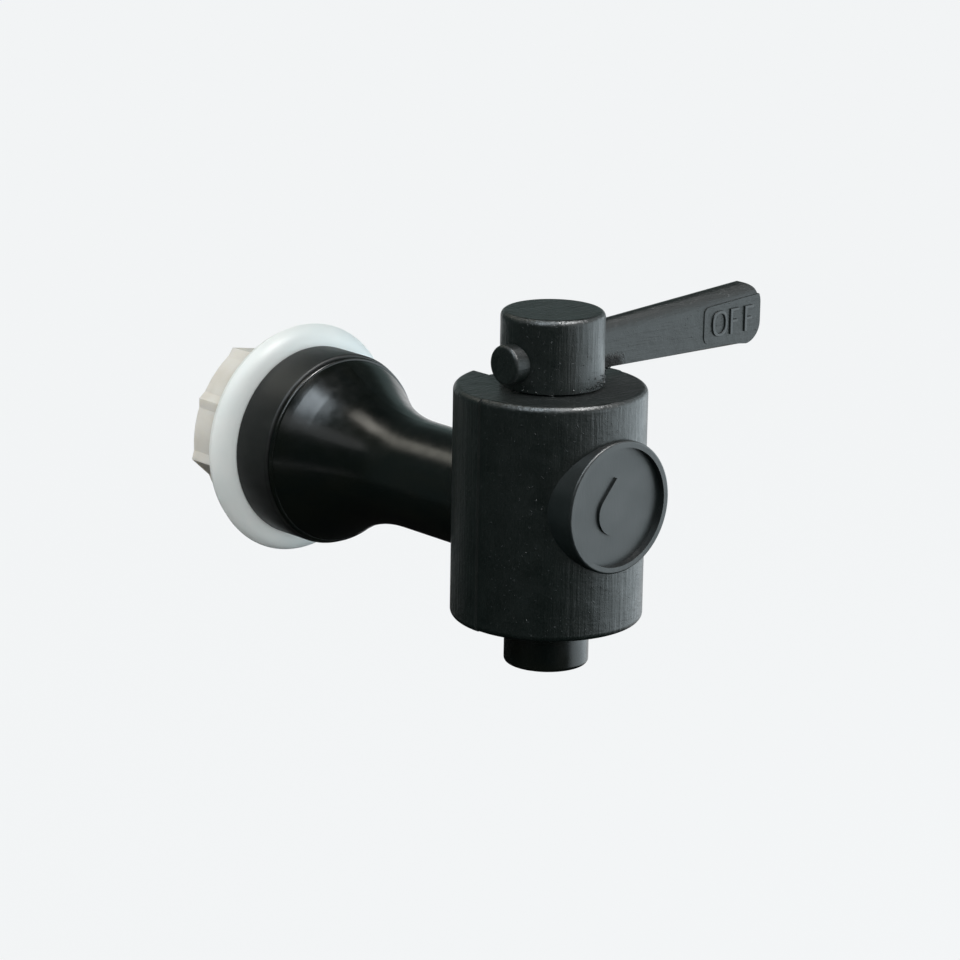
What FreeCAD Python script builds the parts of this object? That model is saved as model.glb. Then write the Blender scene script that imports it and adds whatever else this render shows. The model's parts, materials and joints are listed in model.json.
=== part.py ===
"""Quarter-turn drip tap for a gravity water filter.

The tap is fixed through a hole in the wall of a water vessel.  The origin is on the
shank's axis, in the plane where the rubber ring meets that wall.  +Y runs along the
shank into the vessel, -Y points at the user, +Z is up and the lever lies along +X
when the tap is shut.  Lengths are in millimetres and angles in degrees.
"""
import FreeCAD, Part
import math
import os

V = FreeCAD.Vector
X_DIR = V(1, 0, 0)
Y_DIR = V(0, 1, 0)
Z_DIR = V(0, 0, 1)

# Water way
FLOW_R = 4.5
PORT_R = 4.2

# Shank, stem and trumpet of the moulded tap body
SHANK_R = 8.0
SHANK_FREE = 6.5
NOSE_R = 7.1
NOSE_LENGTH = 3.4
SHANK_CHAMFER = 0.5
STEM_R = 8.9
STEM_REACH = 58.5
RIM_R = 15.2
RIM_BEAD_R = 0.45
SHOULDER_R = 8.0
SHOULDER_START_DEG = 20.0
FLARE_DEG = 30.0
NECK_R = 30.0

# Rubber ring, domed washer and hand nut on the shank
SHANK_CLEARANCE = 0.1
RING_R = 16.0
RING_T = 7.9
RING_EDGE_R = 0.5
WASHER_R = 19.3
WASHER_DOME = 2.3
WASHER_BULGE = 0.57
WASHER_T = 3.4
WASHER_EDGE_R = 0.5
NUT_FACE_R = 17.0
NUT_T = 6.4
NUT_LOBES = 3
NUT_LOBE_CENTRE_DEG = 26.0
NUT_LOBE_SHARE = 0.57
NUT_FLANK_SHARE = 0.12
NUT_CREST_SHARE = 0.04
NUT_NOTCH_DEPTH = 2.0
NUT_CREST = 0.6
NUT_POCKET_DEPTH = 4.2
NUT_WALL = 1.9
NUT_HUB_WALL = 2.4
NUT_WEB_T = 1.5

# Valve plug and its chamber
PLUG_R = 7.4
PLUG_FIT = 0.05
CHAMBER_WALL = 3.0
CHAMBER_FLOOR = 3.0
PLUG_END_GAP = 0.1
PLUG_LAND = 1.0
O_RING_R = 0.9
O_RING_SLACK = 0.08
SEAL_WALL = 1.8
SEAL_DEPTH = 1.9
SEAL_BORE_GAP = 0.25
PLUG_BRIDGE = 0.55
SPINDLE_R = 4.0
TANG_SIDE = 5.4
TANG_LENGTH = 3.9
TANG_FIT = 0.05

# Washer, spring and gland nut that hold the plug down
THRUST_T = 0.8
THRUST_GAP = 0.05
SPRING_HEIGHT = 1.0
SPRING_T = 0.4
GLAND_T = 3.0
GLAND_LIP = 1.15
GLAND_FIT = 0.05
SPINDLE_SEAL_R = 0.75
SPANNER_SLOT_W = 2.4
SPANNER_SLOT_DEPTH = 1.0

# Printed shells
SHELL_GAP = 0.15
SHELL_WALL = 4.4
SHELL_FLOOR = 3.25
SHELL_ROOF = 3.1
ROOF_CAVITY = 3.6
SHELL_EDGE_R = 1.0
REAR_STEP = 0.3
NOTCH_HALF_W = 3.7
NOTCH_REACH = 4.6
NOTCH_DEPTH = 2.5
DOWEL_R = 0.9
DOWEL_LENGTH = 6.0
DOWEL_INSET = 6.0

# Spout below the shells
SPOUT_R = 6.7
SPOUT_LENGTH = 7.6
SPOUT_EDGE_R = 0.6
SPOUT_ROOT_R = 7.4

# Medallion and the screw that it hides
MEDAL_R = 10.5
MEDAL_Z = 4.85
MEDAL_STAND = 0.85
MEDAL_LIP = 1.05
MEDAL_RECESS = 1.2
MEDAL_EDGE_R = 0.35
MEDAL_SEAT_DEPTH = 1.6
MEDAL_SEAT_WALL = 0.5
MEDAL_FIT = 0.03
DROP_R = 3.6
DROP_TIP = 9.2
DROP_RELIEF = 0.45
SCREW_R = 1.5
SCREW_HEAD_R = 2.75
SCREW_HEAD_T = 1.5
SCREW_BITE = 2.2
RECESS_ARM = 1.65
RECESS_HALF_W = 0.38
RECESS_DEPTH = 1.05
PAD_R = 3.6
PAD_HEIGHT = 0.8

# Head, lever and the pins that join them to the plug
HEAD_R = 8.15
HEAD_HEIGHT = 11.55
HEAD_GAP = 0.3
HEAD_EDGE_R = 1.0
BOSS_R = 5.0
BOSS_GAP = 0.3
GRIP_Z = 4.2
GRIP_R = 3.15
GRIP_FIT = 0.02
GRIP_STUB = 2.2
GRIP_EDGE_R = 0.6
LEVER_TIP_X = 43.55
LEVER_RISE = 0.4
LEVER_TIP_LIFT = 0.9
LEVER_ROOT_H = 6.5
LEVER_TIP_H = 10.1
LEVER_ROOT_T = 3.8
LEVER_TIP_T = 4.8
LEVER_ROOT_CREST = 2.6
LEVER_TIP_CREST = 3.6
LEVER_EDGE_R = 0.8
LEVER_CORNER_R = 3.4
LEVER_EASE = 0.05
LABEL_LENGTH = 12.7
LABEL_DROP = 2.1
LABEL_ROOT_INSET = 1.1
LABEL_TIP_OVERHANG = 0.3
LABEL_STAND = 0.1
LABEL_CORNER_R = 1.2
TURN_DEG = 90.0
STOP_PIN_R = 0.8
STOP_PIN_OUT = 1.3
STOP_PIN_IN = 2.4
STOP_PIN_DEG = -135.0
STOP_FIT = 0.25
TANG_PIN_R = 0.85
TANG_PIN_SUNK = 0.3
GRUB_R = 1.5
GRUB_SUNK = 0.6
GRUB_KEY_R = 0.8

# Places worked out from the sizes above
AXIS = V(0, -STEM_REACH, 0)
BORE_R = PLUG_R + PLUG_FIT
CHAMBER_R = BORE_R + CHAMBER_WALL
SEAL_R = FLOW_R + SEAL_WALL
O_RING_Z = SEAL_R + PLUG_BRIDGE + O_RING_R
PLUG_TOP = O_RING_Z + O_RING_R + O_RING_SLACK + PLUG_LAND
CHAMBER_LOW = -PLUG_TOP - PLUG_END_GAP - CHAMBER_FLOOR
THRUST_Z = PLUG_TOP + THRUST_GAP
SPRING_Z = THRUST_Z + THRUST_T
GLAND_Z = SPRING_Z + SPRING_HEIGHT
GLAND_R = BORE_R + GLAND_LIP
CHAMBER_TOP = GLAND_Z + GLAND_T
SHELL_IN_R = CHAMBER_R + SHELL_GAP
BODY_R = SHELL_IN_R + SHELL_WALL
BODY_LOW = CHAMBER_LOW - SHELL_FLOOR
ROOF_LOW = CHAMBER_TOP + ROOF_CAVITY
BODY_TOP = ROOF_LOW + SHELL_ROOF
SPOUT_END = BODY_LOW - SPOUT_LENGTH
HEAD_LOW = BODY_TOP + HEAD_GAP
HEAD_TOP = HEAD_LOW + HEAD_HEIGHT
BOSS_LOW = CHAMBER_TOP + HEAD_GAP
TANG_TOP = CHAMBER_TOP + TANG_LENGTH
TANG_PIN_Z = (BOSS_LOW + TANG_TOP) / 2
GRIP_AXIS_Z = HEAD_LOW + GRIP_Z
STOP_PIN_RADIUS = (BOSS_R + HEAD_R) / 2
SHANK_HOLE_R = SHANK_R + SHANK_CLEARANCE
NUT_Y = WASHER_T
SHANK_END = NUT_Y + NUT_T + SHANK_FREE
MEDAL_FACE_Y = -BODY_R - MEDAL_STAND
MEDAL_SEAT_Y = -BODY_R + MEDAL_SEAT_DEPTH
PAD_FACE_Y = -CHAMBER_R - PAD_HEIGHT
NEAR = 1e-4


def rod(radius, start, direction, length):
    """A solid cylinder from start along direction."""
    return Part.makeCylinder(radius, length, start, direction)


def at_axis(x, y, z):
    """A point given from the tap's upright axis."""
    return AXIS + V(x, y, z)


def upright(radius, low, high):
    """A cylinder on the tap's upright axis between two heights."""
    return rod(radius, at_axis(0, 0, low), Z_DIR, high - low)


def ring(outer, inner, low, high):
    """A flat washer on the upright axis."""
    return upright(outer, low, high).cut(upright(inner, low, high))


def block(x0, x1, y0, y1, z0, z1):
    """A box between two corners, given from the upright axis."""
    return Part.makeBox(x1 - x0, y1 - y0, z1 - z0, at_axis(x0, y0, z0))


def o_ring(major, minor, z):
    """A round seal about the upright axis."""
    return Part.makeTorus(major, minor, at_axis(0, 0, z), Z_DIR)


def face_of(edges):
    """A flat face inside a closed run of edges."""
    return Part.Face(Part.Wire(Part.sortEdges(edges)[0]))


def line(a, b):
    return Part.makeLine(a, b)


def arc(a, middle, b):
    return Part.Arc(a, middle, b).toShape()


def turned_about_shank(edges):
    """A solid turned about the shank's axis from its half section."""
    return face_of(edges).revolve(V(0, 0, 0), Y_DIR, 360)


def fillet_where(shape, radius, wanted):
    """Rounds the edges for which wanted says yes."""
    edges = [edge for edge in shape.Edges if wanted(edge)]
    return shape.makeFillet(radius, edges)


def chamfer_where(shape, size, wanted):
    """Bevels the edges for which wanted says yes."""
    edges = [edge for edge in shape.Edges if wanted(edge)]
    return shape.makeChamfer(size, edges)


def circle_at(edge, radius, centre):
    """Whether an edge is the full circle of a radius about a centre."""
    curve = edge.Curve
    if not isinstance(curve, Part.Circle):
        return False
    near = curve.Center.distanceToPoint(centre) < NEAR
    return near and abs(curve.Radius - radius) < NEAR


def trumpet_section():
    """Half section of the stem and its trumpet, in the YZ plane, as far as the body's axis."""
    start = math.radians(SHOULDER_START_DEG)
    flare = math.radians(FLARE_DEG)
    half = (start + flare) / 2
    rim_y = -RING_T
    bead_low = rim_y - 2 * RIM_BEAD_R
    centre_y = bead_low + SHOULDER_R * math.sin(start)
    centre_r = RIM_R - SHOULDER_R * math.cos(start)

    def shoulder(angle):
        return V(0, centre_y - SHOULDER_R * math.sin(angle), centre_r + SHOULDER_R * math.cos(angle))

    shoulder_end = shoulder(flare)
    neck_rise = NECK_R * (1 - math.cos(flare))
    slope_drop = shoulder_end.z - STEM_R - neck_rise
    slope_run = slope_drop / math.tan(flare)
    slope_end = V(0, shoulder_end.y - slope_run, shoulder_end.z - slope_drop)
    neck_centre = V(0, slope_end.y - NECK_R * math.sin(flare), STEM_R + NECK_R)

    def neck(angle):
        return neck_centre + V(0, NECK_R * math.sin(angle), -NECK_R * math.cos(angle))

    bead = V(0, rim_y - RIM_BEAD_R, RIM_R + RIM_BEAD_R)
    return [
        line(V(0, -STEM_REACH, 0), V(0, rim_y, 0)),
        line(V(0, rim_y, 0), V(0, rim_y, RIM_R)),
        arc(V(0, rim_y, RIM_R), bead, shoulder(start)),
        arc(shoulder(start), shoulder(half), shoulder_end),
        line(shoulder_end, slope_end),
        arc(slope_end, neck(flare / 2), neck(0)),
        line(neck(0), V(0, -STEM_REACH, STEM_R)),
        line(V(0, -STEM_REACH, STEM_R), V(0, -STEM_REACH, 0)),
    ]


def make_tap_body():
    """Shank, trumpet stem, valve chamber and spout, moulded in one."""
    body = turned_about_shank(trumpet_section())
    shank = rod(SHANK_R, V(0, -RING_T, 0), Y_DIR, RING_T + SHANK_END - NOSE_LENGTH)
    thread_end = V(0, SHANK_END - NOSE_LENGTH, 0)
    shank = chamfer_where(shank, SHANK_CHAMFER, lambda e: circle_at(e, SHANK_R, thread_end))
    nose = rod(NOSE_R, V(0, 0, 0), Y_DIR, SHANK_END)
    nose = chamfer_where(nose, SHANK_CHAMFER, lambda e: circle_at(e, NOSE_R, V(0, SHANK_END, 0)))
    chamber = upright(CHAMBER_R, CHAMBER_LOW, CHAMBER_TOP)
    spout = upright(SPOUT_R, SPOUT_END, CHAMBER_LOW)
    spout = fillet_where(
        spout, SPOUT_EDGE_R, lambda e: circle_at(e, SPOUT_R, at_axis(0, 0, SPOUT_END)))
    pad = rod(PAD_R, at_axis(0, 0, MEDAL_Z), -Y_DIR, -PAD_FACE_Y)
    spout_root = upright(SPOUT_ROOT_R, BODY_LOW, CHAMBER_LOW)
    body = body.fuse([shank, nose, chamber, spout, spout_root, pad]).removeSplitter()

    plug_room = upright(BORE_R, -PLUG_TOP - PLUG_END_GAP, PLUG_TOP)
    gland_room = upright(GLAND_R, PLUG_TOP - PLUG_END_GAP, CHAMBER_TOP)
    outlet = upright(FLOW_R, SPOUT_END, 0)
    inlet = rod(FLOW_R, at_axis(0, 0, 0), Y_DIR, STEM_REACH + SHANK_END)
    seal_seat = rod(SEAL_R + O_RING_SLACK, at_axis(0, 0, 0), Y_DIR, BORE_R + SEAL_DEPTH)
    screw_hole = rod(SCREW_R, at_axis(0, PAD_FACE_Y, MEDAL_Z), Y_DIR, PAD_HEIGHT + SCREW_BITE)
    return body.cut([plug_room, gland_room, outlet, inlet, seal_seat, screw_hole])


def make_port_seal():
    """The ring round the inlet that the plug wipes."""
    seal = rod(SEAL_R, at_axis(0, 0, 0), Y_DIR, BORE_R + SEAL_DEPTH)
    seal = seal.cut(rod(FLOW_R + SEAL_BORE_GAP, at_axis(0, 0, 0), Y_DIR, BORE_R + SEAL_DEPTH))
    return seal.cut(upright(BORE_R, -PLUG_TOP, PLUG_TOP))


def make_valve_plug():
    """The turning plug, with a port that bends down to the spout, a spindle and a square tang."""
    plug = upright(PLUG_R, -PLUG_TOP, PLUG_TOP)
    spindle = upright(SPINDLE_R, PLUG_TOP, CHAMBER_TOP)
    half = TANG_SIDE / 2
    tang = block(-half, half, -half, half, CHAMBER_TOP, TANG_TOP)
    plug = plug.fuse([spindle, tang])
    side_port = rod(PORT_R, at_axis(0, 0, 0), -X_DIR, PLUG_R + 1)
    down_port = upright(PORT_R, -PLUG_TOP, 0)
    elbow = Part.makeSphere(PORT_R, at_axis(0, 0, 0))
    cuts = [side_port, down_port, elbow]
    groove_in = PLUG_R - 2 * O_RING_R
    for z in (-O_RING_Z, O_RING_Z):
        low = z - O_RING_R - O_RING_SLACK
        high = z + O_RING_R + O_RING_SLACK
        cuts.append(ring(PLUG_R + 1, groove_in, low, high))
    cuts.append(rod(TANG_PIN_R, at_axis(0, -BOSS_R, TANG_PIN_Z), Y_DIR, 2 * BOSS_R))
    return plug.cut(cuts)


def make_plug_ring(z):
    """A round seal in one of the plug's grooves."""
    minor = O_RING_R - O_RING_SLACK / 4
    return o_ring(PLUG_R - O_RING_R + O_RING_SLACK / 4, minor, z)


def make_thrust_washer():
    return ring(GLAND_R - GLAND_FIT, SPINDLE_R + SHELL_GAP, THRUST_Z, SPRING_Z)


def make_disc_spring():
    """A coned spring washer between the thrust washer and the gland nut."""
    inner = SPINDLE_R + 2 * SHELL_GAP
    outer = BORE_R
    points = [
        at_axis(inner, 0, GLAND_Z - SPRING_T),
        at_axis(outer, 0, SPRING_Z),
        at_axis(outer, 0, SPRING_Z + SPRING_T),
        at_axis(inner, 0, GLAND_Z),
    ]
    section = Part.Face(Part.makePolygon(points + [points[0]]))
    return section.revolve(AXIS, Z_DIR, 360)


def make_gland_nut():
    """The screwed nut that closes the chamber round the spindle."""
    nut = ring(GLAND_R - GLAND_FIT, SPINDLE_R + SHELL_GAP, GLAND_Z, CHAMBER_TOP)
    middle = (GLAND_Z + CHAMBER_TOP) / 2
    reach = SPINDLE_R + 2 * SPINDLE_SEAL_R + SHELL_GAP
    seal_room = upright(reach, middle - SPINDLE_SEAL_R - PLUG_FIT, middle + SPINDLE_SEAL_R + PLUG_FIT)
    half = SPANNER_SLOT_W / 2
    slot_low = CHAMBER_TOP - SPANNER_SLOT_DEPTH
    slots = block(-GLAND_R, GLAND_R, -half, half, slot_low, CHAMBER_TOP)
    slots = slots.cut(upright(reach + half, slot_low, CHAMBER_TOP))
    return nut.cut([seal_room, slots])


def make_spindle_seal():
    middle = (GLAND_Z + CHAMBER_TOP) / 2
    return o_ring(SPINDLE_R + SPINDLE_SEAL_R + PLUG_FIT, SPINDLE_SEAL_R, middle)


def half_shell(radius, side):
    """One printed half of the body, cut on the plane through the upright axis."""
    shell = upright(radius, BODY_LOW, BODY_TOP)
    rims = (at_axis(0, 0, BODY_LOW), at_axis(0, 0, BODY_TOP))
    shell = fillet_where(shell, SHELL_EDGE_R, lambda e: any(circle_at(e, radius, c) for c in rims))
    keep = block(-radius - 1, radius + 1, min(0, side * (radius + 1)), max(0, side * (radius + 1)),
                 BODY_LOW - 1, BODY_TOP + 1)
    shell = shell.common(keep)
    room = upright(SHELL_IN_R, CHAMBER_LOW, ROOF_LOW)
    boss_hole = upright(BOSS_R + BOSS_GAP, ROOF_LOW, BODY_TOP)
    spout_hole = upright(SPOUT_ROOT_R + SHELL_GAP, BODY_LOW, CHAMBER_LOW)
    return shell.cut([room, boss_hole, spout_hole] + dowels(2 * PLUG_FIT))


def dowels(slack=0.0):
    """The plain pins across the seam; slack widens them into their holes."""
    middle = SHELL_IN_R + SHELL_WALL / 2
    length = DOWEL_LENGTH + 2 * slack
    pins = []
    for x in (-middle, middle):
        for z in (BODY_LOW + DOWEL_INSET, BODY_TOP - DOWEL_INSET):
            pins.append(rod(DOWEL_R + slack, at_axis(x, -length / 2, z), Y_DIR, length))
    return pins


def stop_pin(slack=0.0):
    """The pin in the roof that limits the head's turn."""
    angle = math.radians(STOP_PIN_DEG)
    x = STOP_PIN_RADIUS * math.cos(angle)
    y = STOP_PIN_RADIUS * math.sin(angle)
    start = at_axis(x, y, BODY_TOP - STOP_PIN_IN)
    return rod(STOP_PIN_R + slack, start, Z_DIR, STOP_PIN_IN + STOP_PIN_OUT)


def shell_screw(slack=0.0):
    """The countersunk screw behind the medallion."""
    start = at_axis(0, MEDAL_SEAT_Y, MEDAL_Z)
    shank_length = PAD_FACE_Y - MEDAL_SEAT_Y + PAD_HEIGHT + SCREW_BITE
    shank = rod(SCREW_R + slack, start, Y_DIR, shank_length)
    head = Part.makeCone(SCREW_HEAD_R + slack, SCREW_R + slack, SCREW_HEAD_T, start, Y_DIR)
    return shank.fuse(head)


def make_shell_screw():
    """The screw with its cross recess."""
    screw = shell_screw()
    arm = RECESS_ARM
    half = RECESS_HALF_W
    low = MEDAL_SEAT_Y
    deep = low + RECESS_DEPTH
    cross = [
        block(-arm, arm, low, deep, MEDAL_Z - half, MEDAL_Z + half),
        block(-half, half, low, deep, MEDAL_Z - arm, MEDAL_Z + arm),
    ]
    return screw.cut(cross)


def make_front_shell():
    """The front half, with the medallion's seat, the screw hole and the stop pin's hole."""
    shell = half_shell(BODY_R, -1)
    seat_start = at_axis(0, -BODY_R - 1, MEDAL_Z)
    seat = rod(MEDAL_R - MEDAL_SEAT_WALL + MEDAL_FIT, seat_start, Y_DIR, 1 + MEDAL_SEAT_DEPTH)
    pad_room = rod(PAD_R + SHELL_GAP, at_axis(0, 0, MEDAL_Z), -Y_DIR, -PAD_FACE_Y)
    return shell.cut([seat, pad_room, shell_screw(PLUG_FIT), stop_pin()])


def make_rear_shell():
    """The rear half, with the stem's hole and the notch in its top edge."""
    radius = BODY_R + REAR_STEP
    shell = half_shell(radius, 1)
    stem_hole = rod(STEM_R + SHELL_GAP, at_axis(0, 0, 0), Y_DIR, radius + 1)
    notch = block(-NOTCH_HALF_W, NOTCH_HALF_W, BODY_R - NOTCH_REACH, radius + 1,
                  BODY_TOP - NOTCH_DEPTH, BODY_TOP + 1)
    return shell.cut([stem_hole, notch])


def drop_outline(y):
    """A plain water drop in the plane y, as three arcs' worth of edges about the medallion's centre."""
    low = -DROP_TIP / 2 + DROP_R
    reach = DROP_TIP - DROP_R
    half_angle = math.asin(DROP_R / reach)
    side_x = DROP_R * math.cos(half_angle)
    side_z = low + DROP_R * math.sin(half_angle)
    tip = at_axis(0, y, MEDAL_Z + low + reach)
    left = at_axis(-side_x, y, MEDAL_Z + side_z)
    right = at_axis(side_x, y, MEDAL_Z + side_z)
    bottom = at_axis(0, y, MEDAL_Z + low - DROP_R)
    return face_of([line(tip, left), arc(left, bottom, right), line(right, tip)])


def make_medallion():
    """The round badge with a raised lip, its face bare but for a plain water drop."""
    front = at_axis(0, MEDAL_FACE_Y, MEDAL_Z)
    barrel = rod(MEDAL_R, front, Y_DIR, MEDAL_STAND + BODY_R)
    barrel = fillet_where(barrel, MEDAL_EDGE_R, lambda e: circle_at(e, MEDAL_R, front))
    barrel = barrel.cut(upright(BODY_R + MEDAL_FIT, BODY_LOW, BODY_TOP))
    spigot = rod(MEDAL_R - MEDAL_SEAT_WALL, front, Y_DIR, MEDAL_STAND + MEDAL_SEAT_DEPTH - MEDAL_FIT)
    badge = barrel.fuse(spigot).removeSplitter()
    badge = badge.cut(rod(MEDAL_R - MEDAL_LIP, front, Y_DIR, MEDAL_RECESS))
    floor_y = MEDAL_FACE_Y + MEDAL_RECESS
    drop = drop_outline(floor_y - DROP_RELIEF).extrude(V(0, DROP_RELIEF, 0))
    return badge.fuse(drop).removeSplitter()


def stop_slot():
    """The curved slot under the head that the stop pin runs in."""
    half_w = STOP_PIN_R + STOP_FIT
    high = HEAD_LOW + STOP_PIN_OUT
    slot = ring(STOP_PIN_RADIUS + half_w, STOP_PIN_RADIUS - half_w, HEAD_LOW, high)
    reach = HEAD_R + 1
    corner = at_axis(0, 0, HEAD_LOW)

    def spoke(degrees):
        angle = math.radians(degrees)
        return corner + V(reach * math.cos(angle), reach * math.sin(angle), 0)

    last = STOP_PIN_DEG + TURN_DEG
    middle = (STOP_PIN_DEG + last) / 2
    fan = face_of([
        line(corner, spoke(STOP_PIN_DEG)),
        arc(spoke(STOP_PIN_DEG), spoke(middle), spoke(last)),
        line(spoke(last), corner),
    ]).extrude(V(0, 0, high - HEAD_LOW))
    slot = slot.common(fan)
    ends = []
    for degrees in (STOP_PIN_DEG, last):
        angle = math.radians(degrees)
        x = STOP_PIN_RADIUS * math.cos(angle)
        y = STOP_PIN_RADIUS * math.sin(angle)
        ends.append(rod(half_w, at_axis(x, y, HEAD_LOW), Z_DIR, high - HEAD_LOW))
    return slot.fuse(ends)


def make_head():
    """The round knob and its boss, which reaches down over the plug's tang."""
    knob = upright(HEAD_R, HEAD_LOW, HEAD_TOP)
    knob = fillet_where(
        knob, HEAD_EDGE_R, lambda e: circle_at(e, HEAD_R, at_axis(0, 0, HEAD_TOP)))
    head = knob.fuse(upright(BOSS_R, BOSS_LOW, HEAD_LOW))
    half = TANG_SIDE / 2 + TANG_FIT
    socket = block(-half, half, -half, half, BOSS_LOW, TANG_TOP + TANG_FIT)
    grip_hole = rod(GRIP_R + GRIP_FIT, at_axis(-HEAD_R - 1, 0, GRIP_AXIS_Z), X_DIR, 2 * HEAD_R + 2)
    grub_hole = rod(GRUB_R, at_axis(0, 0, GRIP_AXIS_Z), Y_DIR, HEAD_R + 1)
    pin_hole = rod(TANG_PIN_R, at_axis(0, -BOSS_R, TANG_PIN_Z), Y_DIR, 2 * BOSS_R)
    return head.cut([socket, grip_hole, grub_hole, pin_hole, stop_slot()])


def make_lever_screw():
    """The grub screw at the back of the head, on the lever's round shank."""
    start = GRIP_R + GRIP_FIT
    length = HEAD_R - start - GRUB_SUNK
    screw = rod(GRUB_R, at_axis(0, start, GRIP_AXIS_Z), Y_DIR, length)
    key = Part.makePolygon(hexagon(GRUB_KEY_R, start + length, GRIP_AXIS_Z))
    return screw.cut(Part.Face(key).extrude(V(0, -length / 2, 0)))


def hexagon(radius, y, z):
    """The closed corner list of a hexagon that faces Y."""
    points = []
    for index in range(7):
        angle = math.radians(60 * index)
        points.append(at_axis(radius * math.cos(angle), y, z + radius * math.sin(angle)))
    return points


def along_lever(x, at_root, at_tip):
    """A size of the blade at x, given at the upright axis and at the tip."""
    return at_root + (at_tip - at_root) * x / LEVER_TIP_X


def lever_middle(x):
    """Height of the blade's middle at x."""
    root_z = GRIP_AXIS_Z + LEVER_RISE
    return along_lever(x, root_z, root_z + LEVER_TIP_LIFT)


def lever_high(x):
    """Height of the blade's upper edge at x."""
    return lever_middle(x) + along_lever(x, LEVER_ROOT_H, LEVER_TIP_H) / 2


def lever_low(x):
    """Height of the blade's lower edge at x."""
    return lever_middle(x) - along_lever(x, LEVER_ROOT_H, LEVER_TIP_H) / 2


def side_plate(rise):
    """The blade's side view as a plate of even thickness; rise lifts its upper edge."""
    half = LEVER_TIP_T / 2
    corners = [
        at_axis(0, -half, lever_low(0)),
        at_axis(LEVER_TIP_X, -half, lever_low(LEVER_TIP_X)),
        at_axis(LEVER_TIP_X, -half, lever_high(LEVER_TIP_X) + rise),
        at_axis(0, -half, lever_high(0) + rise),
    ]
    outline = Part.Face(Part.makePolygon(corners + [corners[0]]))
    plate = outline.extrude(V(0, LEVER_TIP_T, 0))
    return fillet_where(
        plate, LEVER_CORNER_R,
        lambda e: abs(e.CenterOfMass.x - LEVER_TIP_X) < NEAR and abs(e.Length - LEVER_TIP_T) < NEAR)


def blade_section(x):
    """The blade across its length: flat sides and underside, and half an ellipse on top."""
    half = along_lever(x, LEVER_ROOT_T, LEVER_TIP_T) / 2
    high = lever_high(x)
    spring = high - along_lever(x, LEVER_ROOT_CREST, LEVER_TIP_CREST)
    back = at_axis(x, half, spring)
    front = at_axis(x, -half, spring)
    ellipse = Part.Ellipse(at_axis(x, 0, high), back, at_axis(x, 0, spring))
    crest = Part.ArcOfEllipse(ellipse, -math.pi / 2, math.pi / 2).toShape()
    low_front = at_axis(x, -half, lever_low(x))
    low_back = at_axis(x, half, lever_low(x))
    edges = [crest, line(back, low_back), line(low_back, low_front), line(low_front, front)]
    return Part.Wire(Part.sortEdges(edges)[0])


def make_lever():
    """The blade with its flat label pad, and the round shank through the head."""
    plate = side_plate(LEVER_EASE)
    plate = fillet_where(plate, LEVER_EDGE_R, runs_along_outline)
    blade = Part.makeLoft([blade_section(0), blade_section(LEVER_TIP_X)], True, True)
    blade = blade.common(plate)
    label = lever_label().common(side_plate(0))
    tongue = blade.common(rod(GRIP_R, at_axis(0, 0, GRIP_AXIS_Z), X_DIR, HEAD_R + GRIP_R))
    blade = blade.cut(upright(HEAD_R + GRIP_FIT, HEAD_LOW - 1, HEAD_TOP + 1))
    shank_start = at_axis(-HEAD_R - GRIP_STUB, 0, GRIP_AXIS_Z)
    shank = rod(GRIP_R, shank_start, X_DIR, 2 * HEAD_R + GRIP_STUB - GRIP_EDGE_R)
    shank = fillet_where(shank, GRIP_EDGE_R, lambda e: circle_at(e, GRIP_R, shank_start))
    return blade.fuse([tongue, shank, label]).removeSplitter()


def runs_along_outline(edge):
    """Whether an edge of the side plate follows its outline, on either side."""
    box = edge.BoundBox
    return box.YMax - box.YMin < NEAR and box.XMax > NEAR


def lever_label():
    """The flat pad at the front of the tip, with rounded inner corners."""
    face_y = -LEVER_TIP_T / 2 - LABEL_STAND
    x0 = LEVER_TIP_X - LABEL_LENGTH
    corners = [
        at_axis(x0, face_y, lever_low(x0) + LABEL_ROOT_INSET),
        at_axis(LEVER_TIP_X, face_y, lever_low(LEVER_TIP_X) - LABEL_TIP_OVERHANG),
        at_axis(LEVER_TIP_X, face_y, lever_high(LEVER_TIP_X) - LABEL_DROP),
        at_axis(x0, face_y, lever_high(x0) - LABEL_DROP),
    ]
    pad = Part.Face(Part.makePolygon(corners + [corners[0]])).extrude(V(0, -face_y, 0))
    return fillet_where(
        pad, LABEL_CORNER_R,
        lambda e: abs(e.CenterOfMass.x - x0) < NEAR and abs(e.Length + face_y) < NEAR)


def make_rubber_ring():
    """The thick ring between the trumpet's rim and the vessel."""
    body = rod(RING_R, V(0, -RING_T, 0), Y_DIR, RING_T)
    ends = (V(0, -RING_T, 0), V(0, 0, 0))
    body = fillet_where(body, RING_EDGE_R, lambda e: any(circle_at(e, RING_R, c) for c in ends))
    return body.cut(rod(SHANK_HOLE_R, V(0, -RING_T, 0), Y_DIR, RING_T))


def make_domed_washer():
    """The dished white washer, widest just behind its domed front."""
    edge = V(0, WASHER_DOME, WASHER_R)
    back = V(0, WASHER_T, WASHER_R - WASHER_EDGE_R)
    low = V(0, 0, RING_R)
    outward = V(0, low.z - edge.z, edge.y - low.y).normalize()
    return turned_about_shank([
        line(V(0, 0, SHANK_HOLE_R), low),
        arc(low, (low + edge) / 2 + outward * WASHER_BULGE, edge),
        line(edge, back),
        line(back, V(0, WASHER_T, SHANK_HOLE_R)),
        line(V(0, WASHER_T, SHANK_HOLE_R), V(0, 0, SHANK_HOLE_R)),
    ])


def on_nut(radius, degrees):
    """A point on the nut's front face."""
    angle = math.radians(degrees)
    return V(-radius * math.cos(angle), NUT_Y, radius * math.sin(angle))


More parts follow.
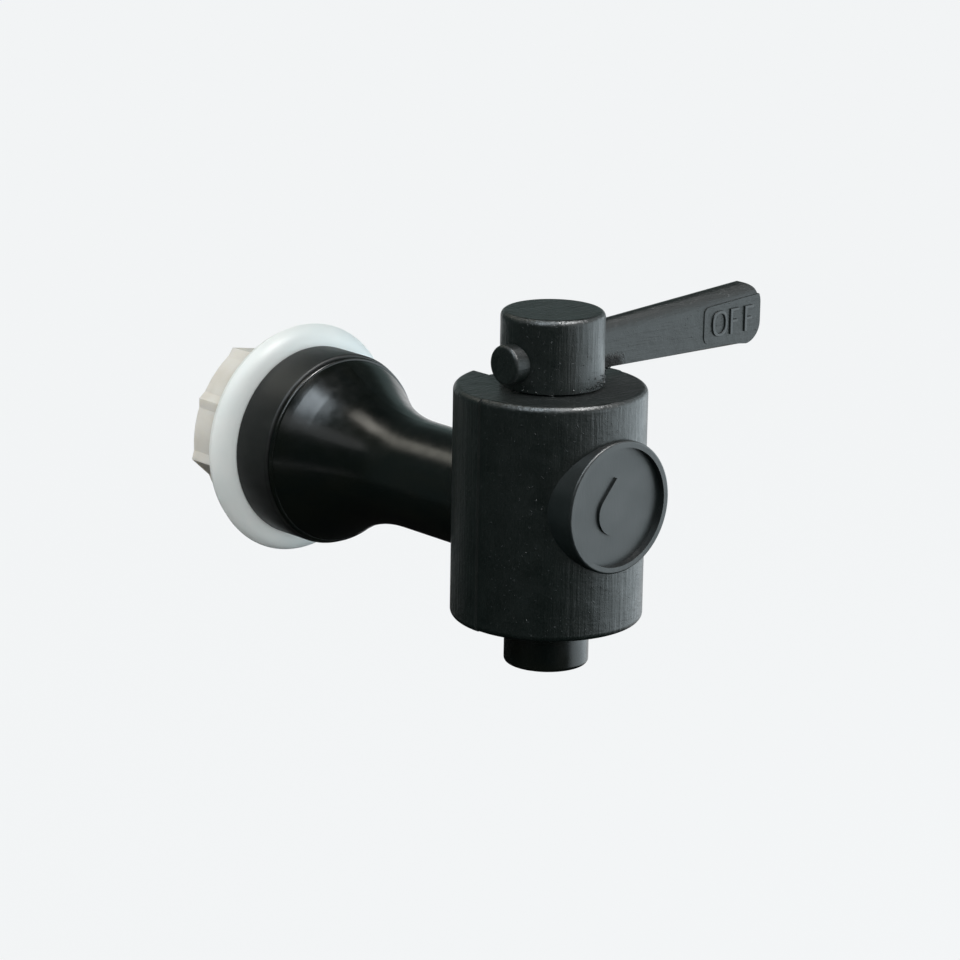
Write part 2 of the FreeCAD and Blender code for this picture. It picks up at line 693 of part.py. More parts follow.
def nut_outline():
    """The nut's edge: lobes with sloping flanks, and a low crest at each end and middle."""
    pitch = 360 / NUT_LOBES
    half = pitch * NUT_LOBE_SHARE / 2
    foot = half + pitch * NUT_FLANK_SHARE
    crest = pitch * NUT_CREST_SHARE
    low_r = NUT_FACE_R - NUT_NOTCH_DEPTH
    high_r = NUT_FACE_R + NUT_CREST
    edges = []
    for index in range(NUT_LOBES):
        centre = NUT_LOBE_CENTRE_DEG + index * pitch
        for side in (-1, 1):
            tip = on_nut(high_r, centre + side * half)
            outer = on_nut(NUT_FACE_R, centre + side * (half - crest))
            face = on_nut(NUT_FACE_R, centre + side * half / 2)
            inner = on_nut(NUT_FACE_R, centre + side * crest)
            edges.append(line(on_nut(low_r, centre + side * foot), tip))
            edges.append(line(tip, outer))
            edges.append(arc(outer, face, inner))
            edges.append(line(inner, on_nut(high_r, centre)))
        edges.append(arc(
            on_nut(low_r, centre + foot),
            on_nut(low_r, centre + pitch / 2),
            on_nut(low_r, centre + pitch - foot)))
    return face_of(edges)


def make_hand_nut():
    """The white nut, turned by hand on its broad lobes, hollowed at the back between webs."""
    nut = nut_outline().extrude(V(0, NUT_T, 0))
    back_y = NUT_Y + NUT_T
    pocket_y = back_y - NUT_POCKET_DEPTH
    hub_r = SHANK_HOLE_R + NUT_HUB_WALL
    room_r = NUT_FACE_R - NUT_NOTCH_DEPTH - NUT_WALL
    pocket = rod(room_r, V(0, pocket_y, 0), Y_DIR, NUT_POCKET_DEPTH)
    pocket = pocket.cut(rod(hub_r, V(0, pocket_y, 0), Y_DIR, NUT_POCKET_DEPTH))
    webs = []
    for index in range(2 * NUT_LOBES):
        web = Part.makeBox(NUT_FACE_R, NUT_POCKET_DEPTH, NUT_WEB_T, V(0, pocket_y, -NUT_WEB_T / 2))
        web.rotate(V(0, 0, 0), Y_DIR, NUT_LOBE_CENTRE_DEG + index * 180 / NUT_LOBES)
        webs.append(web)
    pocket = pocket.cut(webs)
    return nut.cut([pocket, rod(SHANK_HOLE_R, V(0, NUT_Y, 0), Y_DIR, NUT_T)])


def make_parts():
    """Every piece by its name."""
    pin_reach = BOSS_R - TANG_PIN_SUNK
    tang_pin = rod(TANG_PIN_R, at_axis(0, -pin_reach, TANG_PIN_Z), Y_DIR, 2 * pin_reach)
    return {
        "tap_body": make_tap_body(),
        "front_shell": make_front_shell(),
        "rear_shell": make_rear_shell(),
        "medallion": make_medallion(),
        "locating_pins": Part.makeCompound(dowels()),
        "shell_screw": make_shell_screw(),
        "valve_plug": make_valve_plug(),
        "upper_o_ring": make_plug_ring(O_RING_Z),
        "lower_o_ring": make_plug_ring(-O_RING_Z),
        "port_seal": make_port_seal(),
        "thrust_washer": make_thrust_washer(),
        "disc_spring": make_disc_spring(),
        "gland_nut": make_gland_nut(),
        "spindle_seal": make_spindle_seal(),
        "stop_pin": stop_pin(),
        "head": make_head(),
        "tang_pin": tang_pin,
        "lever": make_lever(),
        "lever_screw": make_lever_screw(),
        "rubber_ring": make_rubber_ring(),
        "domed_washer": make_domed_washer(),
        "hand_nut": make_hand_nut(),
    }


def main():
    os.makedirs("parts", exist_ok=True)
    for name, shape in make_parts().items():
        shape.exportStep(os.path.join("parts", name + ".step"))
        print(name, shape.isValid(), len(shape.Solids), round(shape.Volume, 2))


main()
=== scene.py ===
"""Looks of a quarter-turn tap for a gravity water filter.

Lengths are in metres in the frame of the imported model: +Y runs along the shank into the
vessel, -Y points at the user, +Z is up and the lever lies along +X when the tap is shut.
"""

import json
import math
import random

import bmesh
import bpy
from mathutils import Matrix, Vector


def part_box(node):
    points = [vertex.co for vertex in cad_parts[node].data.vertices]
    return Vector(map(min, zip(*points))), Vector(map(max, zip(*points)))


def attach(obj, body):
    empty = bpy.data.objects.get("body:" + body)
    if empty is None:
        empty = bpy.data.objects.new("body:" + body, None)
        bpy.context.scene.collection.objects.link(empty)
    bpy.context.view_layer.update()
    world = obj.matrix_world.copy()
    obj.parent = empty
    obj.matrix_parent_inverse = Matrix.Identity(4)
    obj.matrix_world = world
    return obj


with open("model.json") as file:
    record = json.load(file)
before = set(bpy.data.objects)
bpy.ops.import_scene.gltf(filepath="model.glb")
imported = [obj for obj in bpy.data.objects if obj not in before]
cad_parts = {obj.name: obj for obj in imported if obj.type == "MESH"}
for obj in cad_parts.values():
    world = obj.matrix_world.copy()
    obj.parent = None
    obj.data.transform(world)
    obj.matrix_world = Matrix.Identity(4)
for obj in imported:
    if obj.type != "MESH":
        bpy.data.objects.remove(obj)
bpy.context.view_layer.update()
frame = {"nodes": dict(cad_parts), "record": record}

MM = 0.001
FIXED = "fixed_body"
TURNING = "turning_lever"

# The upright axis through the valve, half way across the round head, and the top of the shells
AXIS_Y = (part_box("head")[0].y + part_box("head")[1].y) / 2
BODY_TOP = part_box("front_shell")[1].z

# Camera: where it stands round the tap, and where the centre of the body's top lands
CAMERA_AZIMUTH = math.radians(43.27)
CAMERA_ELEVATION = math.radians(14.23)
CAMERA_ROLL = math.radians(1.25)
CAMERA_DISTANCE = 0.6071
FOCAL_PIXELS = 3916.0
IMAGE_PIXELS = 960.0
BODY_TOP_PIXEL = (551.76, 384.0)
SENSOR_MM = 36.0

# Studio: the paper's colour as light on it shows it, and as the camera and mirrors see it
BACKGROUND = (0.888, 0.904, 0.912)
PAPER_GLOW = (0.905, 0.921, 0.930)
FLOOR_Z = -0.26
FLOOR_HALF = 12.0
FLOOR_GLOW = 0.95
FILL_LEVEL = 0.28
# Watts that a square metre of softbox needs to look as bright as white paper
SOFTBOX_WATTS = 4


def mix_color(a, b, share):
    """The colour between two others."""
    return tuple(x + (y - x) * share for x, y in zip(a, b))


def link_object(name, data):
    """A new object in the scene."""
    made = bpy.data.objects.new(name, data)
    bpy.context.scene.collection.objects.link(made)
    return made


class Paint:
    """A material's nodes, with short ways to add to them."""

    def __init__(self, name, color, roughness, specular=0.5):
        self.material = bpy.data.materials.new(name)
        self.material.use_nodes = True
        self.nodes = self.material.node_tree.nodes
        self.links = self.material.node_tree.links
        self.shader = self.nodes["Principled BSDF"]
        self.put("Base Color", (*color, 1))
        self.put("Roughness", roughness)
        self.put("Specular IOR Level", specular)
        self.place = self.nodes.new("ShaderNodeTexCoord").outputs["Object"]
        self.normal = None

    def put(self, socket, value):
        """Sets one of the shader's own sockets."""
        self.shader.inputs[socket].default_value = value

    def milky(self, weight, radius, scale):
        """Lets some light through under the surface."""
        self.put("Subsurface Weight", weight)
        self.put("Subsurface Radius", radius)
        self.put("Subsurface Scale", scale)

    def add(self, kind, inputs, output=0, **settings):
        """A node with its inputs linked or set; gives one of its outputs."""
        node = self.nodes.new(kind)
        for key, value in settings.items():
            setattr(node, key, value)
        for key, value in inputs.items():
            if isinstance(value, bpy.types.NodeSocket):
                self.links.new(value, node.inputs[key])
            else:
                node.inputs[key].default_value = value
        return node.outputs[output]

    def math(self, operation, a, b=0.0, c=0.0):
        return self.add("ShaderNodeMath", {0: a, 1: b, 2: c}, operation=operation)

    def axis(self, vector, index):
        """One part of a vector: 0 for X, 1 for Y, 2 for Z."""
        return self.add("ShaderNodeSeparateXYZ", {0: vector}, output=index)

    def stretch(self, x, y, z):
        """The place with each axis scaled."""
        return self.add("ShaderNodeMapping", {"Vector": self.place, "Scale": (x, y, z)})

    def noise(self, vector, size, detail=2.0, roughness=0.5):
        """Noise whose features are about size across, in metres."""
        inputs = {"Vector": vector, "Scale": 1 / size, "Detail": detail, "Roughness": roughness}
        return self.add("ShaderNodeTexNoise", inputs)

    def ramp(self, value, low, high, out_low=0.0, out_high=1.0):
        """A smooth step between two values."""
        inputs = {
            "Value": value,
            "From Min": low, "From Max": high,
            "To Min": out_low, "To Max": out_high,
        }
        return self.add("ShaderNodeMapRange", inputs, interpolation_type="SMOOTHSTEP")

    def facing_up(self):
        """The upward part of the surface's own direction."""
        return self.axis(self.nodes.new("ShaderNodeTexCoord").outputs["Normal"], 2)

    def lay(self, share, below, above):
        """Puts a mix of two colours on the surface: above where share is 1."""
        inputs = {"Factor": share, "A": below, "B": (*above, 1)}
        mixed = self.add("ShaderNodeMix", inputs, output="Result", data_type="RGBA")
        self.links.new(mixed, self.shader.inputs["Base Color"])

    def color(self, share, a, b):
        """Puts a colour between two others on the surface."""
        self.lay(share, (*a, 1), b)

    def tint(self, share, color):
        """Puts another colour over the surface's own where share is 1."""
        self.lay(share, self.shader.inputs["Base Color"].links[0].from_socket, color)

    def rough(self, value):
        self.links.new(value, self.shader.inputs["Roughness"])

    def bump(self, height, distance, strength=1.0):
        """Adds a height, in metres at distance, to what the surface already has."""
        inputs = {"Height": height, "Distance": distance, "Strength": strength}
        if self.normal is not None:
            inputs["Normal"] = self.normal
        self.normal = self.add("ShaderNodeBump", inputs)
        self.links.new(self.normal, self.shader.inputs["Normal"])

    def grain(self, size, depth, detail=3.0, roughness=0.6):
        """An even grain, raised by depth; gives its noise."""
        noise = self.noise(self.place, size, detail, roughness)
        self.bump(noise, depth)
        return noise


def printed_plastic(name, color, pale, streak, sweep):
    """Matt black plastic with print lines; streak and sweep are the place stretched along them."""
    paint = Paint(name, color, 0.42, specular=0.55)
    wide = paint.noise(paint.stretch(*streak), 0.85 * MM, 3.0, 0.62)
    faint = paint.ramp(paint.noise(paint.place, 4.5 * MM, 3.0, 0.6), 0.3, 0.7, 0.45, 1.0)
    paint.bump(paint.math("MULTIPLY", wide, faint), distance=0.16 * MM)
    swirl = paint.noise(paint.stretch(*sweep), 0.6 * MM, 3.0, 0.6)
    on_top = paint.ramp(paint.facing_up(), 0.7, 0.95, 0.8, 2.6)
    paint.bump(paint.math("MULTIPLY", swirl, on_top), distance=0.05 * MM)
    paint.grain(size=0.2 * MM, depth=0.02 * MM, detail=2.0, roughness=0.7)
    specks = paint.ramp(paint.noise(paint.place, 0.6 * MM, 3.0, 0.7), 0.62, 0.74)
    paint.bump(specks, distance=0.045 * MM)

    cloud = paint.noise(paint.place, 3.4 * MM, 4.0, 0.6)
    paint.color(paint.ramp(cloud, 0.3, 0.75), color, pale)
    paint.rough(paint.ramp(cloud, 0.25, 0.75, 0.34, 0.44))
    return paint


def paint_seam_highlight(paint, pale):
    """A faint pale line where the two shells meet: a painted highlight for the light that the edge
    between them catches.
    """
    line_y = AXIS_Y - 0.1 * MM
    core, edge = 0.05 * MM, 0.2 * MM
    off = paint.math("ABSOLUTE", paint.math("ADD", paint.axis(paint.place, 1), -line_y))
    # Painted highlight: the seam line is coloured paler for the light its edge catches
    paint.tint(paint.ramp(off, core, edge, 1.0, 0.0), pale)


def mark_root_scars_and_shade(paint, dark):
    """A rough patch under the lever's root, where the print's support was broken off, darkened
    with painted shade because it lies in the shadow under the blade.
    """
    # Along X the patch lies between the shank in the head and the blade, and it fades at its top
    shank_x, root_x = 4 * MM, 5 * MM
    full_x, last_x = 13.2 * MM, 15.2 * MM
    full_z, last_z = BODY_TOP + 3.9 * MM, BODY_TOP + 4.9 * MM
    plain_rough, added_rough = 0.42, 0.5
    x, z = paint.axis(paint.place, 0), paint.axis(paint.place, 2)
    ragged = paint.math("MULTIPLY", paint.noise(paint.place, 0.8 * MM, 3.0, 0.7), 2.4 * MM)
    near = paint.ramp(paint.math("ADD", x, ragged), full_x, last_x, 1.0, 0.0)
    reach = paint.math("MULTIPLY", near, paint.ramp(x, shank_x, root_x))
    height = paint.ramp(paint.math("ADD", z, ragged), full_z, last_z, 1.0, 0.0)
    patch = paint.math("MULTIPLY", reach, height)
    lumps = paint.noise(paint.place, 0.45 * MM, 3.0, 0.75)
    paint.bump(paint.math("MULTIPLY", lumps, patch), distance=0.5 * MM)
    # Painted shade: the patch's colour is darkened for the shadow under the blade
    paint.tint(patch, dark)
    paint.rough(paint.math("MULTIPLY_ADD", patch, added_rough, plain_rough))


def smooth_printed(name, color, pale):
    """The badge's face: a top layer ironed almost smooth."""
    paint = Paint(name, color, 0.45, specular=0.67)
    paint.bump(paint.noise(paint.stretch(1.0, 1.0, 0.2), 0.5 * MM, 3.0, 0.6), distance=0.01 * MM)
    paint.grain(size=0.2 * MM, depth=0.006 * MM, detail=2.0)
    cloud = paint.noise(paint.place, 4 * MM, 3.0, 0.5)
    paint.color(paint.ramp(cloud, 0.3, 0.7), color, pale)
    paint.rough(paint.ramp(cloud, 0.3, 0.7, 0.4, 0.46))
    return paint.material


def gloss_moulding(name):
    """Injection-moulded black plastic: soft reflections that drift a little with the surface."""
    paint = Paint(name, (0.006, 0.0065, 0.006), 0.3, specular=0.4)
    flow = paint.noise(paint.stretch(1.0, 0.4, 1.0), 4.5 * MM, 2.0, 0.5)
    paint.bump(flow, distance=0.025 * MM, strength=0.6)
    paint.grain(size=0.25 * MM, depth=0.003 * MM, detail=2.0)
    paint.color(paint.ramp(flow, 0.3, 0.7), (0.003, 0.005, 0.0045), (0.005, 0.0065, 0.005))
    paint.rough(paint.ramp(paint.noise(paint.place, 2.2 * MM, 4.0, 0.6), 0.3, 0.7, 0.2, 0.27))
    return paint.material


def rubber(name, color, pale, roughness):
    """Black rubber with a faint bloom."""
    paint = Paint(name, color, roughness, specular=0.35)
    paint.grain(size=0.3 * MM, depth=0.012 * MM)
    bloom = paint.noise(paint.stretch(1.0, 0.6, 1.0), 5 * MM, 4.0, 0.6)
    paint.color(paint.ramp(bloom, 0.35, 0.7), color, pale)
    paint.rough(paint.ramp(bloom, 0.3, 0.7, roughness - 0.06, roughness + 0.06))
    return paint.material


def white_silicone(name):
    """Pale, faintly blue silicone with a satin skin."""
    paint = Paint(name, (0.80, 0.86, 0.87), 0.42, specular=0.4)
    paint.milky(weight=0.25, radius=(1.0, 0.9, 0.9), scale=1.2 * MM)
    paint.grain(size=0.4 * MM, depth=0.006 * MM)
    tint = paint.noise(paint.place, 9 * MM, 2.0, 0.5)
    paint.color(paint.ramp(tint, 0.3, 0.7), (0.80, 0.85, 0.845), (0.85, 0.885, 0.875))
    return paint.material


def natural_nylon(name):
    """Milky off-white nylon that lets some light through."""
    paint = Paint(name, (0.74, 0.71, 0.64), 0.48, specular=0.4)
    paint.milky(weight=0.6, radius=(1.0, 0.9, 0.75), scale=2.5 * MM)
    paint.grain(size=0.35 * MM, depth=0.01 * MM)
    milk = paint.noise(paint.place, 5 * MM, 3.0, 0.55)
    paint.color(paint.ramp(milk, 0.3, 0.7), (0.62, 0.60, 0.55), (0.69, 0.68, 0.64))
    paint.rough(paint.ramp(milk, 0.3, 0.7, 0.42, 0.55))
    return paint.material


def steel(name):
    """Drawn stainless steel with fine lines along the piece."""
    paint = Paint(name, (0.62, 0.62, 0.6), 0.3)
    paint.put("Metallic", 1.0)
    lines = paint.noise(paint.stretch(1.0, 0.05, 1.0), 0.15 * MM, 3.0, 0.6)
    paint.bump(lines, distance=0.004 * MM)
    paint.rough(paint.ramp(lines, 0.3, 0.7, 0.24, 0.4))
    return paint.material


def plain_plastic(name, color, roughness):
    """An inner moulding, with a fine even grain."""
    paint = Paint(name, color, roughness)
    grain = paint.grain(size=0.25 * MM, depth=0.006 * MM, detail=2.0)
    paint.color(paint.ramp(grain, 0.3, 0.7), color, mix_color(color, (0.5, 0.5, 0.5), 0.04))
    return paint.material


def dress_cad_nodes():
    """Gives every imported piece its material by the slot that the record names."""
    dark = (0.0042, 0.0074, 0.0066)
    pale = (0.0062, 0.0100, 0.0090)
    badge_dark = (0.006, 0.0095, 0.0095)
    badge_pale = (0.008, 0.0125, 0.0125)
    seal_dark = (0.03, 0.03, 0.03)
    ring_dark = (0.008, 0.009, 0.009)
    upright = (1.0, 1.0, 0.05)
    across = (0.16, 1.0, 1.0)
    head = printed_plastic("printed_head", dark, pale, upright, across)
    materials = {
        "gloss_black_plastic": gloss_moulding("gloss_black"),
        "printed_black_plastic": head.material,
        "smooth_black_plastic": smooth_printed("smooth_black", badge_dark, badge_pale),
        "pin_plastic": plain_plastic("pin_black", (0.04, 0.04, 0.04), 0.5),
        "stainless_steel": steel("drawn_steel"),
        "plug_plastic": plain_plastic("turned_plug", (0.8, 0.79, 0.74), 0.25),
        "seal_rubber": rubber("seal_black", seal_dark, (0.04, 0.04, 0.04), 0.45),
        "slip_plastic": plain_plastic("slip_white", (0.85, 0.85, 0.84), 0.35),
        "gland_plastic": plain_plastic("gland_black", (0.03, 0.03, 0.03), 0.4),
        "black_rubber": rubber("ring_black", ring_dark, (0.014, 0.016, 0.015), 0.46),
        "white_silicone": white_silicone("washer_white"),
        "natural_nylon": natural_nylon("nut_nylon"),
    }
    slots = {part["node"]: part["material_slot"] for part in frame["record"]["subparts"]}
    for node, piece in frame["nodes"].items():
        piece.data.materials.clear()
        piece.data.materials.append(materials[slots[node]])
    blade = printed_plastic("printed_blade", dark, pale, (0.08, 1.0, 1.0), (0.3, 1.0, 1.0))
    blade.put("Specular IOR Level", 0.47)
    # Painted shade under the lever's root, over the print's support scars
    mark_root_scars_and_shade(blade, (0.001, 0.002, 0.0018))
    frame["nodes"]["lever"].data.materials[0] = blade.material
    shells = printed_plastic("printed_shells", dark, pale, upright, across)
    # Painted highlight along the seam between the two shells
    paint_seam_highlight(shells, (0.016, 0.02, 0.019))
    for node in ("front_shell", "rear_shell"):
        frame["nodes"][node].data.materials[0] = shells.material
    return materials


def piece_from(name, mesh, material, body):
    """An object from a finished mesh, riding on a body."""
    data = bpy.data.meshes.new(name)
    mesh.to_mesh(data)
    mesh.free()
    data.materials.append(material)
    piece = link_object(name, data)
    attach(piece, body)
    return piece


def letter_f(width, height, stroke):
    """Outline of an F, from its lower left corner, anticlockwise."""
    bar_z = height * 0.5
    bar_x = width * 0.84
    return [
        (0, 0), (stroke, 0), (stroke, bar_z - stroke / 2), (bar_x, bar_z - stroke / 2),
        (bar_x, bar_z + stroke / 2), (stroke, bar_z + stroke / 2), (stroke, height - stroke),
        (width, height - stroke), (width, height), (0, height),
    ]


def oval(width, height, steps=40):
    """Outline of a tall rounded O about its own centre."""
    fullness = 0.8
    points = []
    for index in range(steps):
        angle = 2 * math.pi * index / steps
        across = abs(math.cos(angle)) ** fullness * math.copysign(1, math.cos(angle))
        along = abs(math.sin(angle)) ** fullness * math.copysign(1, math.sin(angle))
        points.append((across * width / 2, along * height / 2))
    return points


def raise_outline(mesh, outer, inner, at_x, at_z, face_y, relief):
    """Raises a letter from a plane that faces -Y.

    outer and inner are closed outlines in X and Z, measured from at_x and at_z.
    """
    def loop(points, y):
        return [mesh.verts.new((at_x + x, y, at_z + z)) for x, z in points]

    def wall(a, b, index):
        after = (index + 1) % len(a)
        mesh.faces.new((a[index], a[after], b[after], b[index]))

    front_outer = loop(outer, face_y - relief)
    back_outer = loop(outer, face_y + relief / 2)
    for index in range(len(outer)):
        wall(back_outer, front_outer, index)
    if inner is None:
        mesh.faces.new(front_outer)
        mesh.faces.new(list(reversed(back_outer)))
        return
    front_inner = loop(inner, face_y - relief)
    back_inner = loop(inner, face_y + relief / 2)
    for index in range(len(outer)):
        wall(front_outer, front_inner, index)
        wall(front_inner, back_inner, index)
        wall(back_inner, back_outer, index)


def make_lettering(material):
    """The raised word OFF on the lever's label pad."""
    # The pad is the lever's foremost face beyond this X; the round shank near the head isn't it
    pad_x = 35 * MM
    relief = 0.26 * MM
    stroke = 0.5 * MM
    low = 24.24 * MM
    height = 4.2 * MM
    o_width, o_x = 3.35 * MM, 34.2 * MM
    f_width, f_left_edges = 1.95 * MM, (36.55 * MM, 39.8 * MM)

    lever = frame["nodes"]["lever"]
    places = [lever.matrix_world @ vert.co for vert in lever.data.vertices]
    face_y = min(place.y for place in places if place.x > pad_x)
    mesh = bmesh.new()
    outer = oval(o_width, height)
    inner = oval(o_width - 2 * stroke, height - 2 * stroke)
    raise_outline(mesh, outer, inner, o_x, low + height / 2, face_y, relief)
    for left in f_left_edges:
        raise_outline(mesh, letter_f(f_width, height, stroke), None, left, low, face_y, relief)
    bmesh.ops.recalc_face_normals(mesh, faces=mesh.faces)
    piece = piece_from("off_lettering", mesh, material, TURNING)
    bevel = piece.modifiers.new("soft_edges", "BEVEL")
    bevel.width = 0.08 * MM
    bevel.segments = 2
    bevel.limit_method = "ANGLE"


def make_thread(material):
    """The helical thread on the free end of the shank."""
    shank_r = 8.0 * MM
    depth = 0.42 * MM
    pitch = 1.8 * MM
    flank = pitch * 0.36
    crest = pitch * 0.1
    sunk = -0.1
    steps_per_turn = 72
    ends_over = 8
    plain_nose = 3.4 * MM
    nose_gap, nut_gap = 0.7 * MM, 0.2 * MM

    nut_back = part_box("hand_nut")[1].y
    first = nut_back + nut_gap
    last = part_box("tap_body")[1].y - plain_nose - nose_gap
    turns = (last - first) / pitch
    steps = int(turns * steps_per_turn)
    mesh = bmesh.new()
    rows = []
    for index in range(steps + 1):
        share = index / steps
        angle = 2 * math.pi * turns * share
        y = first + (last - first) * share
        # The crest rises over the first eighth and falls over the last
        taper = min(1.0, ends_over * share, ends_over * (1 - share))
        row = []
        for offset, rise in ((-flank, sunk), (-crest, taper), (crest, taper), (flank, sunk)):
            radius = shank_r + depth * rise
            place = (radius * math.cos(angle), y + offset, radius * math.sin(angle))
            row.append(mesh.verts.new(place))
        rows.append(row)
    for before, after in zip(rows, rows[1:]):
        for index in range(3):
            quad = (before[index], before[index + 1], after[index + 1], after[index])
            mesh.faces.new(quad)
        mesh.faces.new((before[3], before[0], after[0], after[3]))
    mesh.faces.new(rows[0])
    mesh.faces.new(list(reversed(rows[-1])))
    bmesh.ops.recalc_face_normals(mesh, faces=mesh.faces)
    for face in mesh.faces:
        face.smooth = len(face.verts) == 4
    piece_from("shank_thread", mesh, material, FIXED)


def blob(mesh, centre, radius, rng):
    """A small uneven lump."""
    place = Matrix.Translation(centre)
    made = bmesh.ops.create_icosphere(mesh, subdivisions=2, radius=radius, matrix=place)
    for vert in made["verts"]:
        vert.co = centre + (vert.co - centre) * rng.uniform(0.75, 1.25)


def make_print_scars(material):
    """Lumps of plastic left by the print, at the foot of the head and under the lever's root."""
    foot_lumps, lumps_in_front, root_lumps = 110, 70, 150
    root_length, sunk = 4.6, 0.1
    head_gap = 0.3 * MM
    rng = random.Random(7)
    knob_low = BODY_TOP + head_gap
    head_r = (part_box("head")[1].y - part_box("head")[0].y) / 2
    mesh = bmesh.new()
    for index in range(foot_lumps):
        in_front = index < lumps_in_front
        angle = math.radians(rng.uniform(-92, -40) if in_front else rng.uniform(-200, 20))
        radius = rng.uniform(0.08, 0.19) * MM
        z = knob_low + abs(rng.gauss(0, 0.7 if in_front else 0.3)) * MM + radius
        centre = Vector((head_r * math.cos(angle), AXIS_Y + head_r * math.sin(angle), z))
        blob(mesh, centre, radius, rng)
    for _ in range(root_lumps):
        radius = rng.uniform(0.16, 0.32) * MM
        along = rng.uniform(0.0, 1.0) ** 1.3
        x = head_r + (along * root_length - sunk) * MM
        y = AXIS_Y - rng.uniform(-0.6, 1.85) * MM
        z = BODY_TOP + rng.uniform(0.7 + 0.95 * along, 1.85) * MM
        blob(mesh, Vector((x, y, z)), radius, rng)
    for face in mesh.faces:
        face.smooth = True
    piece_from("print_scars", mesh, material, TURNING)


def seen_directly(nodes, links):
    """1 for rays from the camera and for mirrored and refracted rays, else 0."""
    rays = nodes.new("ShaderNodeLightPath")
    seen = rays.outputs["Is Camera Ray"]
    for kind in ("Is Glossy Ray", "Is Transmission Ray"):
        either = nodes.new("ShaderNodeMath")
        either.operation = "MAXIMUM"
        links.new(seen, either.inputs[0])
        links.new(rays.outputs[kind], either.inputs[1])
        seen = either.outputs[0]
    return seen


def make_floor():
    """A pale floor, wide enough to fill every view."""
    mesh = bpy.data.meshes.new("floor")
    corners = [(x * FLOOR_HALF, y * FLOOR_HALF, FLOOR_Z)
               for x, y in ((-1, -1), (1, -1), (1, 1), (-1, 1))]
    mesh.from_pydata(corners, [], [(0, 1, 2, 3)])
    floor = link_object("floor", mesh)
    paint = Paint("floor_paper", BACKGROUND, 0.9, specular=0.0)
    output = paint.nodes["Material Output"]
    glow = paint.add("ShaderNodeEmission", {"Color": (*PAPER_GLOW, 1), "Strength": 1.0})
    share = paint.math("MULTIPLY", seen_directly(paint.nodes, paint.links), FLOOR_GLOW)
    both = paint.add("ShaderNodeMixShader", {0: share, 1: paint.shader.outputs[0], 2: glow})
    paint.links.new(both, output.inputs["Surface"])
    mesh.materials.append(paint.material)


def place_lamp(name, data, direction, color):
    """A lamp whose light comes from direction, hidden from the camera."""
    data.color = color
    lamp = link_object(name, data)
    lamp.visible_camera = False
    lamp.rotation_euler = Vector(direction).to_track_quat("Z", "Y").to_euler()
    return lamp


def make_sun(name, direction, level, spread_deg, color):
    """A distant lamp that doesn't show in reflections.

    level is the brightness it gives a white surface that faces it.
    """
    data = bpy.data.lights.new(name, "SUN")
    data.energy = level * math.pi
    data.angle = math.radians(spread_deg)
    place_lamp(name, data, direction, color).visible_glossy = False


def make_softbox(name, direction, distance, size, radiance, color):
    """A flat lit panel that faces the tap from direction; radiance 1 is white paper's."""
    data = bpy.data.lights.new(name, "AREA")
    data.shape = "RECTANGLE"
    data.size, data.size_y = size
    data.energy = SOFTBOX_WATTS * size[0] * size[1] * radiance
    lamp = place_lamp(name, data, direction, color)
    lamp.location = Vector((0, AXIS_Y, 0)) + Vector(direction).normalized() * distance
    return lamp


def make_lamps():
    """Softboxes at the front right and behind, windows and soft suns.

    The windows show as reflections only, and the suns light surfaces only.
    """
    side = math.radians(62)
    key_from = (math.sin(side), -math.cos(side), 0.0)
    warm = (1.0, 1.0, 0.98)
    make_softbox("key", key_from, distance=0.6, size=(1.15, 0.5), radiance=1.4,
                 color=(0.83, 1.0, 1.08))
    make_softbox("rear_window", (-0.15, 0.45, 0.88), distance=0.5, size=(0.13, 0.17),
                 radiance=3.4, color=(1.03, 1.0, 0.9))
    make_softbox("rear_door", (-0.18, 0.72, 0.67), distance=0.5, size=(0.12, 0.19),
                 radiance=1.8, color=(1.03, 1.0, 0.88))
    window = make_softbox("window", (-0.47, -0.18, 0.86), distance=0.5, size=(0.1, 0.4),
                          radiance=11.0, color=(0.88, 1.0, 1.08))
    window.data.shape = "ELLIPSE"
    spot = make_softbox("spot", (0.13, -0.42, 0.9), distance=0.5, size=(0.14, 0.16),
                        radiance=38.0, color=(1.0, 1.0, 1.0))
    for lamp in (window, spot):
        lamp.visible_diffuse = False
    make_sun("left", (-0.5, -0.8, 0.3), level=0.45, spread_deg=40, color=warm)
    make_sun("behind_left", (-0.6, 0.45, 0.66), level=0.4, spread_deg=30, color=warm)


def make_world():
    """Pale to the eye and in reflections, and a gentler fill on surfaces."""
    world = bpy.data.worlds.new("studio")
    bpy.context.scene.world = world
    world.use_nodes = True
    nodes = world.node_tree.nodes
    links = world.node_tree.links
    background = nodes["Background"]
    background.inputs["Color"].default_value = (*BACKGROUND, 1)
    seen = seen_directly(nodes, links)
    level = nodes.new("ShaderNodeMapRange")
    level.inputs["To Min"].default_value = FILL_LEVEL
    level.inputs["To Max"].default_value = 1.0
    links.new(seen, level.inputs["Value"])
    links.new(level.outputs[0], background.inputs["Strength"])


def make_card(name, points, faces, glow=0.0, seen_by_diffuse=False):
    """A dark or faintly glowing card that keeps the pale room out of black plastic.

    The camera doesn't see it, and it casts no shadow.
    """
    mesh = bpy.data.meshes.new(name)
    mesh.from_pydata(points, [], faces)
    card = link_object(name, mesh)
    paint = Paint(name + "_black", (0.01, 0.01, 0.01), 0.9, specular=0.0)
    paint.put("Emission Color", (0.74, 1.0, 0.98, 1))
    paint.put("Emission Strength", glow)
    mesh.materials.append(paint.material)
    card.visible_camera = False
    card.visible_diffuse = seen_by_diffuse
    card.visible_shadow = False
    card.visible_transmission = False


